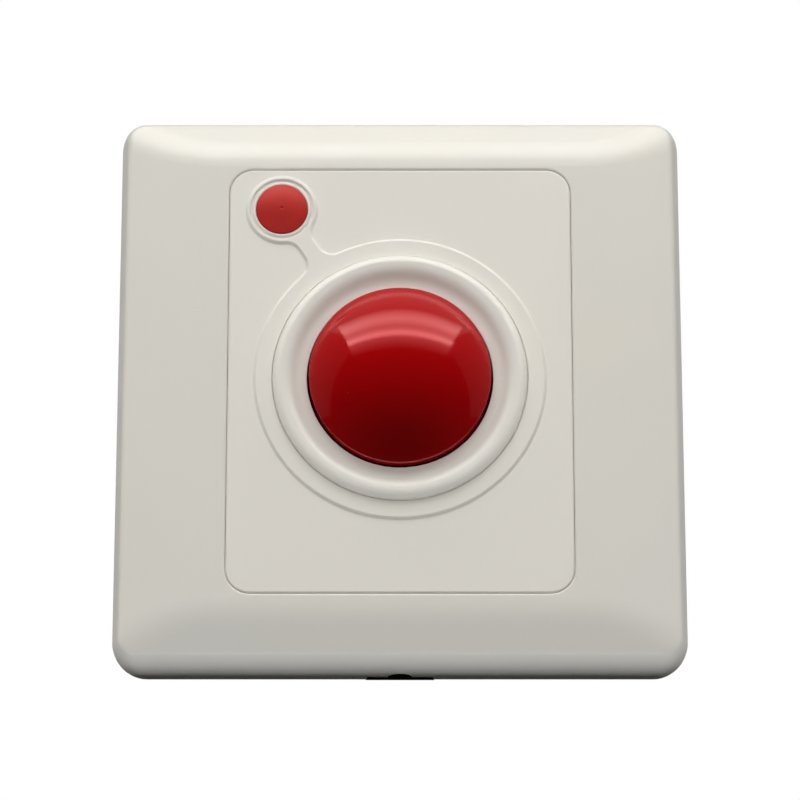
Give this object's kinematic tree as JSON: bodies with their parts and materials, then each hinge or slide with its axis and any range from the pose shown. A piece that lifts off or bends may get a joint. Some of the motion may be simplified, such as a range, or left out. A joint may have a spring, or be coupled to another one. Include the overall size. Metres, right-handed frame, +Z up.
{
  "type": "wireless nurse call button",
  "caption": "Square wall plate with a large round red push button in a raised collar and a small red indicator at its upper left; sends a radio call when pressed.",
  "frame": {"origin": "centre of the rear face, on the wall plane", "axes": "the front faces -Y, +Y points into the wall, +X is to the right seen from the front, +Z is up"},
  "size_m": [0.086, 0.0238, 0.086],
  "materials": {
    "cover_plastic": "satin moulded ABS, warm off-white",
    "panel_plastic": "satin moulded ABS, warm off-white",
    "button_red": "polished deep red moulding",
    "spring_steel": "drawn spring wire",
    "switch_body": "moulded black switch housing",
    "switch_plunger": "moulded white plunger",
    "tinned_copper": "tinned pins",
    "lens_red": "clear red moulded lens, translucent",
    "led_epoxy": "tinted epoxy",
    "board_laminate": "glass-fibre laminate with green solder mask",
    "chip_epoxy": "black moulded epoxy",
    "can_metal": "nickel-plated can",
    "transistor_epoxy": "black moulded epoxy on tinned legs",
    "capacitor_sleeve": "plain aluminium can",
    "resistor_ceramic": "black glazed ceramic",
    "capacitor_ceramic": "tan ceramic",
    "antenna_wire": "tinned copper wire",
    "battery_jacket": "plain gold-coloured jacket",
    "contact_plate": "nickel-plated spring steel",
    "base_plastic": "moulded ABS, fine matt, off-white"
  },
  "bodies": {
    "housing": {"front_cover": "cover_plastic", "control_panel": "panel_plastic", "return_spring": "spring_steel", "push_switch_body": "switch_body", "switch_pins": "tinned_copper", "indicator_lens": "lens_red", "indicator_led": "led_epoxy", "led_leads": "tinned_copper", "circuit_board": "board_laminate", "encoder_chip": "chip_epoxy", "encoder_chip_legs": "tinned_copper", "resonator_can": "can_metal", "radio_transistor": "transistor_epoxy", "storage_capacitor": "capacitor_sleeve", "chip_resistors": "resistor_ceramic", "chip_capacitors": "capacitor_ceramic", "loop_antenna": "antenna_wire", "battery": "battery_jacket", "positive_terminal": "contact_plate", "negative_terminal": "contact_plate", "battery_spring": "contact_plate", "base_plate": "base_plastic"},
    "call_button": {"call_button_cap": "button_red", "switch_plunger": "switch_plunger"}
  },
  "joints": [
    {"name": "call_button_press", "type": "slide", "parent": "housing", "child": "call_button", "axis": [0, 1, 0], "range_m": [0, 0.002], "stiffness_N_per_m": 800, "springref_m": -0.0015, "deforming": ["return_spring"]}
  ]
}
